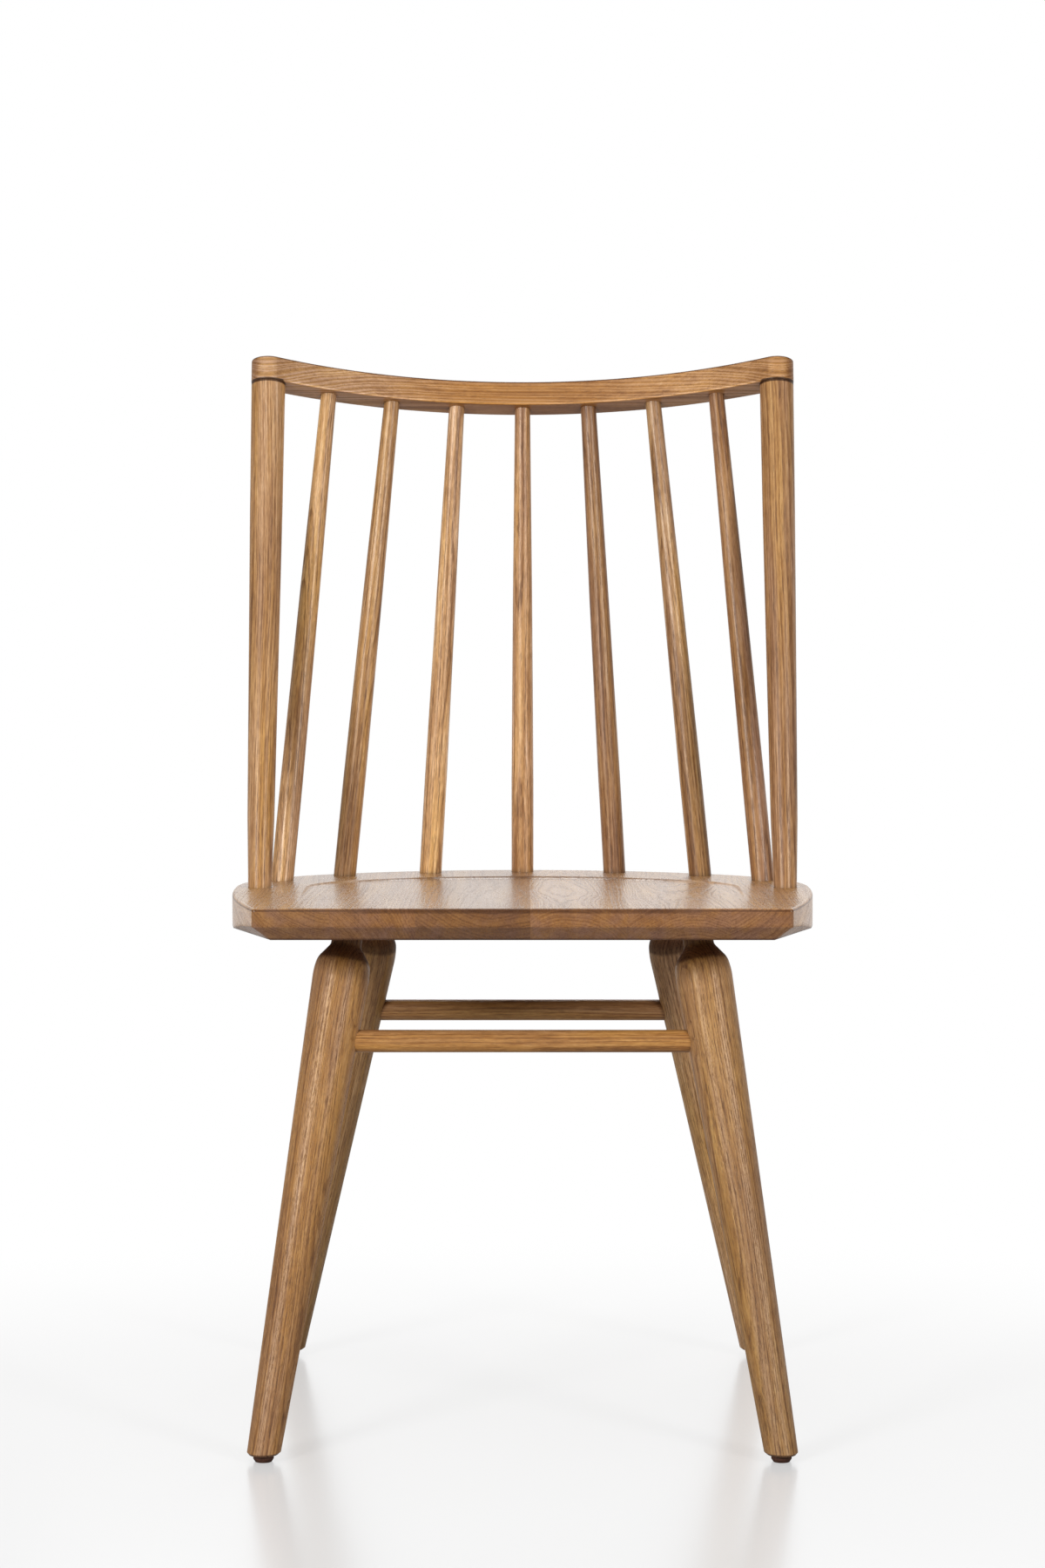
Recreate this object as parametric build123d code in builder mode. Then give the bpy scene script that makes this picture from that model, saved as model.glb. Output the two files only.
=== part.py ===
from build123d import *
import os
from math import asin, cos, degrees, radians, sin

# A windsor side chair of oak, in millimetres.
# +Z is up and the front faces -Y. The origin is on the floor, under the middle of the seat.
# Left and right are as seen from in front, so the left side lies on -X.

# Seat
seat_height = 457.0           # floor to the top of the seat
seat_width = 506.0            # across the widest part
seat_depth = 444.0            # front edge to back edge
seat_thickness = 27.0
seat_widest_back = 26.0       # how far the widest part lies behind the middle
seat_front_inset = 33.0       # how far each front corner lies inside the widest part
seat_back_radius = 310.0      # curve of the back edge
seat_back_inset = 68.0        # that curve ends this far inside the widest part
seat_edge_round = 2.5         # eased top edge
seat_corner_round = 3.0       # eased front corners
bevel_height = 12.0           # slope under the front edge, measured up the front
bevel_depth = 15.0            # and measured back along the underside
corner_bevel_run = 130.0      # the slope dies out this far back along each side
corner_bevel_inset = 14.0     # how far it comes in under each front corner
saddle_depth = 2.0            # shallow dip, deepest at its back
saddle_side_inset = 53.0      # widest part of the seat to the side of the dip
saddle_back_inset = 74.0      # back of the seat to the back of the dip
saddle_front_inset = 60.0     # front of the seat to where the dip starts
saddle_back_radius = 255.0
saddle_corner_round = 90.0
saddle_cove = 14.0            # hollow at the foot of the dip's edge

# The seat is glued up from boards. These are the places of the glue lines, seen from
# the front, as shares of half the seat's width.
glue_line_shares = (-0.62, -0.345, 0.025, 0.34, 0.67)

# Back posts, spindles and crest rail
upright_inset = 22.0          # edge of the seat to the middle of each post and spindle
post_setback = 231.7          # front corner to a post, measured round the seat's edge
back_recline = 15.6           # degrees
post_length = 465.5           # seat to crest rail, along the post
post_base_diameter = 20.4
post_top_diameter = 30.7
post_swell_diameter = 23.8    # a little above the seat
post_swell_height = 61.0
post_upper_diameter = 29.3    # where the taper eases off
post_upper_height = 345.0
post_seat_tenon = 20.0        # length in the seat
post_tenon_diameter = 18.0    # upper tenon
post_tenon_length = 15.0
spindle_gaps = 4              # from the middle spindle to a post
spindle_base_diameter = 20.4
spindle_middle_diameter = 17.9
spindle_top_diameter = 14.2
spindle_seat_tenon = 16.0
spindle_rail_tenon = 12.0
spindle_straight_share = 0.2  # share of a spindle that keeps its base diameter
spindle_middle_share = 0.6    # where its middle diameter is measured
rail_radius = 411.0           # curve of the crest rail's middle line
rail_depth = 31.0
rail_height = 22.2
rail_edge_round = 1.6

# Legs. A socket's place is where the leg's middle line meets the underside of the seat.
front_socket_inset = 105.5    # widest part of the seat to a socket
rear_socket_inset = 122.3
socket_end_inset = 129.0      # front or back of the seat to a socket
front_side_splay = 66.5       # from the socket out to the foot, sideways
rear_side_splay = 89.8
end_splay = 116.0             # and to the front or the rear
foot_diameter = 27.2
leg_swell_diameter = 48.4     # thickest, just below the shoulder
leg_swell_drop = 39.5         # underside of the seat to the thickest place
leg_swell_round = 60.0
shoulder_diameter = 44.8
shoulder_drop = 29.0
shoulder_round = 16.0
neck_diameter = 26.0
neck_drop = 16.0
neck_round = 6.0
leg_tenon = 20.0              # length in the seat
foot_chamfer = 2.0

# Rungs
rung_height = 336.4
rung_diameter = 19.0
rung_past_middle = 3.0        # how far a rung goes past the leg's middle line

# Glides
glide_diameter = 17.0
glide_height = 6.0
glide_face_diameter = 13.6    # flat part that stands on the floor
glide_bevel_height = 2.6      # slope from there up to the rim
nail_diameter = 2.4
nail_length = 17.0            # above the glide
nail_point = 3.0
nail_head_diameter = 7.0
nail_head_thickness = 1.2
nail_head_cover = 2.6         # plastic under the head

# Fits
fit_gap = 0.1                 # round each tenon and nail, and beyond its end
overrun = 30.0                # how far a cut runs past the wood

# Worked out from the sizes above
half_width = seat_width / 2
front_y = -seat_depth / 2
back_y = seat_depth / 2
seat_bottom = seat_height - seat_thickness
half_front = half_width - seat_front_inset
half_saddle = half_width - saddle_side_inset
back_centre_y = back_y - seat_back_radius
back_turn = asin((half_width - seat_back_inset) / seat_back_radius)


def mirrored(place):
    """The same place on the other side of the chair."""
    return Vector(-place.X, place.Y, place.Z)


def line_plane(start, end):
    """A plane at the start of a line, square to it, that looks along it."""
    along = (end - start).normalized()
    return Plane(origin=start, x_dir=Vector(0, 1, 0).cross(along), z_dir=along)


def profile_plane(plane):
    """The plane of a turned piece's profile, where X is its radius and Y its length."""
    return Plane(origin=plane.origin, x_dir=plane.x_dir, z_dir=-plane.y_dir)


def drill(mouth, diameter, depth):
    """Bore a socket for a tenon of this diameter and depth. Its mouth looks out of the wood."""
    with Locations(mouth.offset(-depth - fit_gap)):
        Cylinder(
            diameter / 2 + fit_gap,
            depth + fit_gap + overrun,
            align=(Align.CENTER, Align.CENTER, Align.MIN),
            mode=Mode.SUBTRACT,
        )


def keep(part, name):
    """Give a finished piece its name and write it."""
    part.label = name
    export_step(part, f"parts/{name}.step")


os.makedirs("parts", exist_ok=True)

# Seat: half of the outline, from the middle of the back edge round to the front corner
with BuildLine() as half_outline:
    back_curve = CenterArc((0, back_centre_y), seat_back_radius, 90, -degrees(back_turn))
    corner_curve = TangentArc(back_curve @ 1, (half_width, seat_widest_back), tangent=back_curve % 1)
    side_curve = TangentArc(corner_curve @ 1, (half_front, front_y), tangent=corner_curve % 1)
half_edge = half_outline.wires()[0]


def edge_place(distance, inset):
    """A place inside the seat's edge, on the right, and so far round from the back."""
    spot = half_edge.position_at(distance, position_mode=PositionMode.LENGTH)
    along = half_edge.tangent_at(distance, position_mode=PositionMode.LENGTH)
    inward = along.rotate(Axis.Z, -90)
    return spot + inward * inset


# Shallow dip that is cut into the seat: a flat floor that sinks towards the back, with
# a hollow all round its foot
saddle_back = back_y - saddle_back_inset
saddle_front = front_y + saddle_front_inset
saddle_run = saddle_back - saddle_front
saddle_turn = degrees(asin(half_saddle / saddle_back_radius))
saddle_plane = Plane(
    origin=(0, saddle_front, seat_height), x_dir=(1, 0, 0), z_dir=(0, saddle_depth, saddle_run)
)
with BuildPart() as saddle:
    with BuildSketch(saddle_plane) as saddle_outline:
        with BuildLine():
            dip_back = CenterArc(
                (0, saddle_run - saddle_back_radius), saddle_back_radius, 90 - saddle_turn, 2 * saddle_turn
            )
            Polyline(dip_back @ 1, (-half_saddle, 0), (half_saddle, 0), dip_back @ 0)
        make_face()
        fillet(saddle_outline.vertices().sort_by(Axis.Y)[-2:], saddle_corner_round)
    extrude(amount=overrun)
    fillet(saddle.faces().sort_by(Axis.Z)[0].edges().sort_by(Axis.Y)[1:], saddle_cove)


# Places of the posts and spindles on the seat, on the right. Number 0 is the middle
# spindle and the last one is a post.
upright_run = half_edge.length - post_setback
base_places = []
for number in range(spindle_gaps + 1):
    place = edge_place(upright_run * number / spindle_gaps, upright_inset)
    base_places.append(Vector(place.X, place.Y, seat_height))
post_base = base_places[-1]

# The crest rail's underside is square to the posts. Its middle line is an arc from post
# to post, and the spindles meet it at equal steps.
recline = radians(back_recline)
rail_plane = Plane(
    origin=(0, post_base.Y + post_length * sin(recline), seat_height + post_length * cos(recline)),
    x_dir=(1, 0, 0),
    z_dir=(0, sin(recline), cos(recline)),
)
rail_turn = asin(post_base.X / rail_radius)
rail_centre_y = -rail_radius * cos(rail_turn)
top_places = []
for number in range(spindle_gaps + 1):
    turn = rail_turn * number / spindle_gaps
    local = Vector(rail_radius * sin(turn), rail_centre_y + rail_radius * cos(turn), 0)
    top_places.append(rail_plane.from_local_coords(local))

# Middle lines from the seat up to the rail, from left to right
right_lines = list(zip(base_places, top_places))
left_lines = [(mirrored(base), mirrored(top)) for base, top in right_lines[1:]]
upright_lines = left_lines[::-1] + right_lines
spindle_lines = upright_lines[1:-1]
post_lines = [upright_lines[0], upright_lines[-1]]

# Middle lines of the legs, from the floor up to the underside of the seat
leg_lines = {}
socket_y = back_y - socket_end_inset
foot_y = socket_y + end_splay
for end, facing, socket_inset, side_splay in (
    ("front", -1, front_socket_inset, front_side_splay),
    ("rear", 1, rear_socket_inset, rear_side_splay),
):
    socket_x = half_width - socket_inset
    foot = Vector(socket_x + side_splay, facing * foot_y, 0)
    top = Vector(socket_x, facing * socket_y, seat_bottom)
    leg_lines[end + "_left"] = (mirrored(foot), mirrored(top))
    leg_lines[end + "_right"] = (foot, top)


def leg_middle(corner, height):
    """The place on a leg's middle line at a height above the floor."""
    foot, top = leg_lines[corner]
    return foot + (top - foot) * (height / seat_bottom)


def glide_plane(corner):
    """The floor under the middle of a cut foot."""
    cut_middle = leg_middle(corner, glide_height)
    return Plane(origin=(cut_middle.X, cut_middle.Y, 0))


# Whole seat, before it is parted into its boards
with BuildPart() as seat:
    with BuildSketch(Plane.XY.offset(seat_bottom)):
        with BuildLine():
            add(half_outline.line)
            mirror(about=Plane.YZ)
            Line((-half_front, front_y), (half_front, front_y))
        make_face()
    extrude(amount=seat_thickness)
    fillet(seat.edges().filter_by(Axis.Z).group_by(Axis.Y)[0], seat_corner_round)
    bevel_top = Vector(0, front_y, seat_bottom + bevel_height)
    bevel_foot = Vector(0, front_y + bevel_depth, seat_bottom)
    bevel_normal = Vector(1, 0, 0).cross(bevel_foot - bevel_top)
    split(bisect_by=Plane(origin=bevel_top, z_dir=bevel_normal), keep=Keep.TOP)
    facet_distance = half_edge.length - corner_bevel_run
    side_end = half_edge.position_at(facet_distance, position_mode=PositionMode.LENGTH)
    for side in (-1, 1):
        corner_top = Vector(side * half_front, front_y, seat_bottom + bevel_height)
        corner_foot = Vector(side * (half_front - corner_bevel_inset), front_y + bevel_depth, seat_bottom)
        run_end = Vector(side * side_end.X, side_end.Y, seat_bottom)
        facet_normal = (corner_foot - corner_top).cross(run_end - corner_top) * -side
        split(bisect_by=Plane(origin=corner_top, z_dir=facet_normal), keep=Keep.TOP)
    fillet(seat.faces().sort_by(Axis.Z)[-1].edges(), seat_edge_round)
    add(saddle.part, mode=Mode.SUBTRACT)
    for base, top in spindle_lines:
        drill(line_plane(base, top), spindle_base_diameter, spindle_seat_tenon)
    for base, top in post_lines:
        drill(line_plane(base, top), post_base_diameter, post_seat_tenon)
    for foot, top in leg_lines.values():
        drill(line_plane(top, foot), neck_diameter, leg_tenon)


def make_board(number, left, right):
    """One board of the seat, between two glue lines."""
    with BuildPart() as board:
        add(seat.part)
        if left > -half_width:
            split(bisect_by=Plane.YZ.offset(left), keep=Keep.TOP)
        if right < half_width:
            split(bisect_by=Plane.YZ.offset(right), keep=Keep.BOTTOM)
    keep(board.part, f"seat_board_{number}")


def make_post(side, base, top):
    """A turned post: slim at the seat, thick at the top, with a tenon into the rail."""
    plane = line_plane(base, top)
    base_radius = post_base_diameter / 2
    tenon_radius = post_tenon_diameter / 2
    tenon_top = post_length + post_tenon_length
    with BuildPart() as post:
        with BuildSketch(profile_plane(plane)):
            with BuildLine():
                Polyline(
                    (0, -post_seat_tenon),
                    (base_radius, -post_seat_tenon),
                    (base_radius, 0),
                    (post_swell_diameter / 2, post_swell_height),
                    (post_upper_diameter / 2, post_upper_height),
                    (post_top_diameter / 2, post_length),
                    (tenon_radius, post_length),
                    (tenon_radius, tenon_top),
                    (0, tenon_top),
                    close=True,
                )
            make_face()
        revolve(axis=Axis(plane.origin, plane.z_dir))
    keep(post.part, f"post_{side}")


def make_spindle(number, base, top):
    """A turned spindle: straight near the seat, then a taper that quickens towards the rail."""
    plane = line_plane(base, top)
    length = (top - base).length
    base_radius = spindle_base_diameter / 2
    top_radius = spindle_top_diameter / 2
    with BuildPart() as spindle:
        with BuildSketch(profile_plane(plane)):
            with BuildLine():
                Polyline(
                    (0, -spindle_seat_tenon),
                    (base_radius, -spindle_seat_tenon),
                    (base_radius, length * spindle_straight_share),
                    (spindle_middle_diameter / 2, length * spindle_middle_share),
                    (top_radius, length),
                    (top_radius, length + spindle_rail_tenon),
                    (0, length + spindle_rail_tenon),
                    close=True,
                )
            make_face()
        revolve(axis=Axis(plane.origin, plane.z_dir))
    keep(spindle.part, f"spindle_{number}")


def make_rail():
    """The crest rail: a flat arc with round ends that sit on the posts."""
    with BuildLine() as middle_line:
        CenterArc((0, rail_centre_y), rail_radius, 90 - degrees(rail_turn), 2 * degrees(rail_turn))
    with BuildPart() as rail:
        with BuildSketch(rail_plane):
            SlotArc(arc=middle_line.edges()[0], height=rail_depth)
        extrude(amount=rail_height)
        fillet(rail.faces().filter_by(rail_plane).edges(), rail_edge_round)
        for base, top in spindle_lines:
            drill(line_plane(top, base), spindle_top_diameter, spindle_rail_tenon)
        for base, top in post_lines:
            drill(line_plane(top, base), post_tenon_diameter, post_tenon_length)
    keep(rail.part, "crest_rail")


def make_leg(corner):
    """A turned leg: foot, long taper, shoulder and neck, cut level above its glide."""
    foot, top = leg_lines[corner]
    plane = line_plane(foot, top)
    length = (top - foot).length
    foot_radius = foot_diameter / 2
    neck_radius = neck_diameter / 2
    rung_middle = leg_middle(corner, rung_height)
    with BuildPart() as leg:
        with BuildSketch(profile_plane(plane)) as profile:
            with BuildLine():
                Polyline(
                    (0, -overrun),
                    (foot_radius, -overrun),
                    (foot_radius, 0),
                    (leg_swell_diameter / 2, length - leg_swell_drop),
                    (shoulder_diameter / 2, length - shoulder_drop),
                    (neck_radius, length - neck_drop),
                    (neck_radius, length + leg_tenon),
                    (0, length + leg_tenon),
                    close=True,
                )
            make_face()
            fillet(profile.vertices().sort_by(Axis.Y)[5], neck_round)
            fillet(profile.vertices().sort_by(Axis.Y)[4], shoulder_round)
            fillet(profile.vertices().sort_by(Axis.Y)[3], leg_swell_round)
        revolve(axis=Axis(plane.origin, plane.z_dir))
        split(bisect_by=Plane.XY.offset(glide_height), keep=Keep.TOP)
        chamfer(leg.faces().sort_by(Axis.Z)[0].edges(), foot_chamfer)
        drill(Plane(origin=rung_middle, z_dir=(-rung_middle.X, 0, 0)), rung_diameter, rung_past_middle)
        drill(Plane(origin=leg_middle(corner, glide_height), z_dir=(0, 0, -1)), nail_diameter, nail_length)
    keep(leg.part, f"leg_{corner}")


def make_rung(end):
    """A plain round rung from one leg into the other."""
    middle = leg_middle(end + "_right", rung_height)
    reach = middle.X + rung_past_middle
    with BuildPart() as rung:
        with BuildSketch(Plane(origin=(-reach, middle.Y, middle.Z), z_dir=(1, 0, 0))):
            Circle(rung_diameter / 2)
        extrude(amount=2 * reach)
    keep(rung.part, f"rung_{end}")


def make_glide(corner):
    """A bevelled plastic disc under a foot, moulded round the head of its nail."""
    plane = glide_plane(corner)
    hole_radius = nail_diameter / 2 + fit_gap
    head_radius = nail_head_diameter / 2 + fit_gap
    head_floor = nail_head_cover - fit_gap
    head_roof = nail_head_cover + nail_head_thickness + fit_gap
    with BuildPart() as glide:
        with BuildSketch(profile_plane(plane)):
            with BuildLine():
                Polyline(
                    (0, head_floor),
                    (head_radius, head_floor),
                    (head_radius, head_roof),
                    (hole_radius, head_roof),
                    (hole_radius, glide_height),
                    (glide_diameter / 2, glide_height),
                    (glide_diameter / 2, glide_bevel_height),
                    (glide_face_diameter / 2, 0),
                    (0, 0),
                    close=True,
                )
            make_face()
        revolve(axis=Axis(plane.origin, plane.z_dir))
    keep(glide.part, f"glide_{corner}")


def make_nail(corner):
    """The nail that holds a glide: flat head in the plastic, shank up into the foot."""
    plane = glide_plane(corner)
    shank_radius = nail_diameter / 2
    head_radius = nail_head_diameter / 2
    head_top = nail_head_cover + nail_head_thickness
    tip = glide_height + nail_length
    with BuildPart() as nail:
        with BuildSketch(profile_plane(plane)):
            with BuildLine():
                Polyline(
                    (0, nail_head_cover),
                    (head_radius, nail_head_cover),
                    (head_radius, head_top),
                    (shank_radius, head_top),
                    (shank_radius, tip - nail_point),
                    (0, tip),
                    close=True,
                )
            make_face()
        revolve(axis=Axis(plane.origin, plane.z_dir))
    keep(nail.part, f"glide_nail_{corner}")


board_edges = [-half_width] + [share * half_width for share in glue_line_shares] + [half_width]
for number, (left, right) in enumerate(zip(board_edges, board_edges[1:]), start=1):
    make_board(number, left, right)
for side, (base, top) in zip(("left", "right"), post_lines):
    make_post(side, base, top)
for number, (base, top) in enumerate(spindle_lines, start=1):
    make_spindle(number, base, top)
make_rail()
for corner in leg_lines:
    make_leg(corner)
    make_glide(corner)
    make_nail(corner)
make_rung("front")
make_rung("rear")
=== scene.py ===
import math

import bpy
import numpy as np
from mathutils import Matrix, Vector


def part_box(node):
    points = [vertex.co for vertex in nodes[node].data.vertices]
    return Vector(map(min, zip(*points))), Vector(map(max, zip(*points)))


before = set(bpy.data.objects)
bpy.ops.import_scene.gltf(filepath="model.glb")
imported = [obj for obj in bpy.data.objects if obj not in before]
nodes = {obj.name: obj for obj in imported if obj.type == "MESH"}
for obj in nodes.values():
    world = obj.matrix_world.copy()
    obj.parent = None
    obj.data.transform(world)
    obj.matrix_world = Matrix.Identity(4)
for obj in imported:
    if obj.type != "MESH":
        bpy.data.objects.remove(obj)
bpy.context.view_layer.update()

scene = bpy.context.scene


# Camera: places in metres, angle in degrees, lens and film in millimetres

CAMERA_PLACE = (0.0, -3.0297, 0.6889)
CAMERA_DOWN = 2.662
CAMERA_LENS = 79.58
CAMERA_REACH = 60.0
FILM_HEIGHT = 36.0

camera_data = bpy.data.cameras.new("camera")
camera_data.sensor_fit = "VERTICAL"
camera_data.sensor_height = FILM_HEIGHT
camera_data.sensor_width = FILM_HEIGHT
camera_data.lens = CAMERA_LENS
camera_data.clip_end = CAMERA_REACH
camera = bpy.data.objects.new("camera", camera_data)
camera.location = CAMERA_PLACE
camera.rotation_euler = (math.radians(90 - CAMERA_DOWN), 0.0, 0.0)
scene.collection.objects.link(camera)
scene.camera = camera


# Short hand for node trees

# The roughness of the finer noises
NOISE_ROUGHNESS = 0.6


class Net:
    """Adds nodes to one tree. Any input may be a number, a tuple or another node's output."""

    def __init__(self, tree):
        self.tree = tree

    def feed(self, socket, value):
        if isinstance(value, bpy.types.NodeSocket):
            self.tree.links.new(value, socket)
        elif value is not None:
            socket.default_value = value

    def add(self, kind, settings=None, **inputs):
        node = self.tree.nodes.new(kind)
        for name, value in (settings or {}).items():
            setattr(node, name, value)
        for name, value in inputs.items():
            self.feed(node.inputs[name.replace("_", " ")], value)
        return node

    def math(self, operation, first, second=None, third=None, clamp=False):
        node = self.add("ShaderNodeMath", {"operation": operation, "use_clamp": clamp})
        for socket, value in zip(node.inputs, (first, second, third)):
            self.feed(socket, value)
        return node.outputs[0]

    def chain(self, operation, *values):
        """The same operation on the first two values, then on the result and the next one."""
        out = values[0]
        for value in values[1:]:
            out = self.math(operation, out, value)
        return out

    def swing(self, value, amount):
        """A value round 0.5 turned into one round zero, times the amount."""
        return self.math("MULTIPLY", self.math("SUBTRACT", value, 0.5), amount)

    def span(self, value, low, high, to_low=0.0, to_high=1.0, smooth=True):
        kind = "SMOOTHSTEP" if smooth else "LINEAR"
        node = self.add(
            "ShaderNodeMapRange", {"interpolation_type": kind, "clamp": True},
            Value=value, From_Min=low, From_Max=high, To_Min=to_low, To_Max=to_high
        )
        return node.outputs["Result"]

    def vector(self, operation, first, second=None):
        node = self.add("ShaderNodeVectorMath", {"operation": operation})
        self.feed(node.inputs[0], first)
        self.feed(node.inputs[1], second)
        return node.outputs["Value" if operation in ("DOT_PRODUCT", "LENGTH") else "Vector"]

    def parts(self, vector):
        return self.add("ShaderNodeSeparateXYZ", Vector=vector).outputs

    def joined(self, x, y, z=0.0):
        return self.add("ShaderNodeCombineXYZ", X=x, Y=y, Z=z).outputs[0]

    def mix(self, share, first, second, blend="MIX"):
        node = self.add("ShaderNodeMix", {"data_type": "RGBA", "blend_type": blend, "clamp_factor": True})
        self.feed(node.inputs[0], share)
        self.feed(node.inputs[6], first)
        self.feed(node.inputs[7], second)
        return node.outputs[2]

    def tinted(self, share, colour, tint):
        """The colour times the tint, as far as the share says."""
        return self.mix(share, colour, tint, blend="MULTIPLY")

    def blend(self, share, first, second):
        """Two shaders mixed."""
        node = self.add("ShaderNodeMixShader")
        for socket, value in zip(node.inputs, (share, first.outputs[0], second.outputs[0])):
            self.feed(socket, value)
        return node

    def scaled(self, place, across, along, shift=None):
        """A place in the wood, squeezed so that one unit is 1/across metre across the grain."""
        out = self.vector("MULTIPLY", place, (across, across, along))
        return self.vector("ADD", out, shift) if shift is not None else out

    def noise(self, place, detail=2.0, roughness=0.5, output="Fac"):
        node = self.add("ShaderNodeTexNoise", Vector=place, Scale=1.0, Detail=detail, Roughness=roughness)
        return node.outputs[output]

    def wander(self, place, reach, detail):
        """A noise that moves a place to and fro, by reach in each direction."""
        noise = self.noise(place, detail=detail, output="Color")
        return self.vector("MULTIPLY", self.vector("SUBTRACT", noise, (0.5, 0.5, 0.5)), reach)

    def cells(self, place):
        """How far a place is from its cell's middle, and the numbers that the cell has drawn."""
        node = self.add("ShaderNodeTexVoronoi", Vector=place, Scale=1.0, Randomness=1.0)
        drawn = self.add("ShaderNodeSeparateColor", Color=node.outputs["Color"]).outputs
        return node.outputs["Distance"], drawn


def rgb(*values):
    return (*values, 1.0)


def times(first, second):
    return tuple(one * other for one, other in zip(first, second))


def new_material(name):
    """A material and the net of its tree, which is still empty."""
    material = bpy.data.materials.new(name)
    material.use_nodes = True
    material.node_tree.nodes.clear()
    return material, Net(material.node_tree)


def dress(node, material):
    for slot in nodes[node].material_slots:
        slot.material = material


# How oak grows: lengths in metres, and scales per metre, across and along the grain

GRAIN_INPUTS = ("Seed", "Pith X", "Pith Y", "Ring Width", "Figure", "Pores", "Streaks")
GRAIN_OUTPUTS = ("Tone", "Pore", "Relief", "Warmth")
SEED_STEPS = (13.7, 7.9, 3.3)
DRIFT_SEED_STEP = 17.0
DRAW_SEED_STEP = 5.0

# Each bend's scale, how far it bends the wood to the side, and the detail of its noise
BENDS = (((11.0, 2.6), 0.022, 1.0), ((70.0, 9.0), 0.0032, 2.0))

# Rings: a drift makes some wide and some narrow, and has a scale per year and a size in years.
# The rest are shares of one ring: where its early wood fades out, at the least and at the most,
# up to where it is fully porous, and from where the next year's pores begin.
RING_DRIFT_SCALE = 0.33
RING_DRIFT = 3.2
EARLY_WOOD = (0.38, 0.66)
EARLY_FULL = 0.06
NEXT_YEAR = 0.93

# Pores sit in the cells of a stretched grid. Sizes and jitter are in cells, and a share is how many
# cells have a pore. A pair of sizes or shares is for late and for early wood, and COARSE_BAND is how
# porous the wood is there. PORE_SIZES is how far single pores differ, PORE_CORE is the full part of a
# pore, and WOBBLE_SCALE is a share of the cells' own scale.
COARSE_SIZE = (0.42, 0.62)
COARSE_JITTER = 0.7
COARSE_BAND = (0.1, 0.9)
FINE_SIZE = 0.52
FINE_SHARE = (0.6, 0.9)
FINE_JITTER = 0.5
FINE_DEPTH = 0.65
PORE_SIZES = (0.6, 1.15)
PORE_CORE = 0.55
WOBBLE_SCALE = (0.45, 0.9)

# Rays: cells per metre outwards, per radian and per metre of height, where a fleck fades out in its
# cell, and how many cells have one
RAY_SCALE = (70.0, 95.0, 75.0)
RAY_EDGE = (0.34, 0.16)
RAY_SHARE = 0.4

# Fibres, mottling, clouds and warmer wood. Where rings are soft, the warmth is part noise and part wave.
FIBRE_SCALE = (1700.0, 38.0)
MOTTLE_SCALE = (620.0, 70.0)
CLOUD_SCALE = (14.0, 6.0)
WARMTH_SCALE = (75.0, 4.5)
WARMTH_NOISE = 0.45
WARMTH_WAVE = 0.35
WARMTH_LEAST = 0.10
BROAD_ROUGHNESS = 0.55

# How much each thing changes the tone and the relief
TONE_MIDDLE = 0.56
BAND_MIDDLE = 0.42
BAND_TONE = 0.34
YEAR_TONE = 0.16
FIBRE_TONE = 0.3
CLOUD_TONE = 0.45
RAY_TONE = 0.07
POROUS_RELIEF = 0.55
PORE_RELIEF = 0.5
FIBRE_RELIEF = 0.2
MOTTLE_RELIEF = 0.5


def make_rings(net, grown, given):
    """The year rings round the pith, some wide and some narrow, each porous in its early wood."""
    pith = net.joined(given["Pith X"], given["Pith Y"])
    spoke = net.vector("MULTIPLY", net.vector("SUBTRACT", grown, pith), (1.0, 1.0, 0.0))
    radius = net.vector("LENGTH", spoke)
    years = net.math("DIVIDE", radius, given["Ring Width"])
    drift_place = net.math("ADD", years, net.math("MULTIPLY", given["Seed"], DRIFT_SEED_STEP))
    drift = net.add(
        "ShaderNodeTexNoise", {"noise_dimensions": "1D"}, W=drift_place, Scale=RING_DRIFT_SCALE, Detail=1.0
    )
    years = net.math("ADD", years, net.math("MULTIPLY", drift.outputs["Fac"], RING_DRIFT))
    year = net.math("ADD", net.math("FLOOR", years), net.math("MULTIPLY", given["Seed"], DRAW_SEED_STEP))
    draw = net.add("ShaderNodeTexWhiteNoise", {"noise_dimensions": "1D"}, W=year).outputs["Value"]
    share = net.math("FRACT", years)
    early_end = net.span(draw, 0.0, 1.0, *EARLY_WOOD, smooth=False)
    fading = net.math("SUBTRACT", 1.0, net.span(share, EARLY_FULL, early_end))
    porous = net.math("MAXIMUM", fading, net.span(share, NEXT_YEAR, 1.0))
    return spoke, radius, years, draw, porous


def make_vessels(net, place, shift, scale, size, keep, jitter):
    """Pores in a share of the cells, drawn out along the grain."""
    spot = net.scaled(place, *scale, shift)
    wobble_place = net.scaled(place, *times(scale, WOBBLE_SCALE), shift)
    wobble = net.wander(wobble_place, (jitter, jitter, jitter), 1.0)
    distance, drawn = net.cells(net.vector("ADD", spot, wobble))
    edge = net.math("MULTIPLY", size, net.span(drawn[1], 0.0, 1.0, *PORE_SIZES, smooth=False))
    inside = net.span(distance, net.math("MULTIPLY", edge, PORE_CORE), edge, 1.0, 0.0)
    return net.math("MULTIPLY", inside, net.math("LESS_THAN", drawn[0], keep))


def make_rays(net, grown, spoke, radius, shift):
    """Rays run from the pith outwards and show as short lens-shaped flecks."""
    outwards = net.parts(spoke)
    angle = net.math("ARCTAN2", outwards[1], outwards[0])
    height = net.parts(grown)[2]
    fan = [net.math("MULTIPLY", part, scale) for part, scale in zip((radius, angle, height), RAY_SCALE)]
    distance, drawn = net.cells(net.vector("ADD", net.joined(*fan), shift))
    return net.math("MULTIPLY", net.span(distance, *RAY_EDGE), net.math("LESS_THAN", drawn[0], RAY_SHARE))


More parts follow.
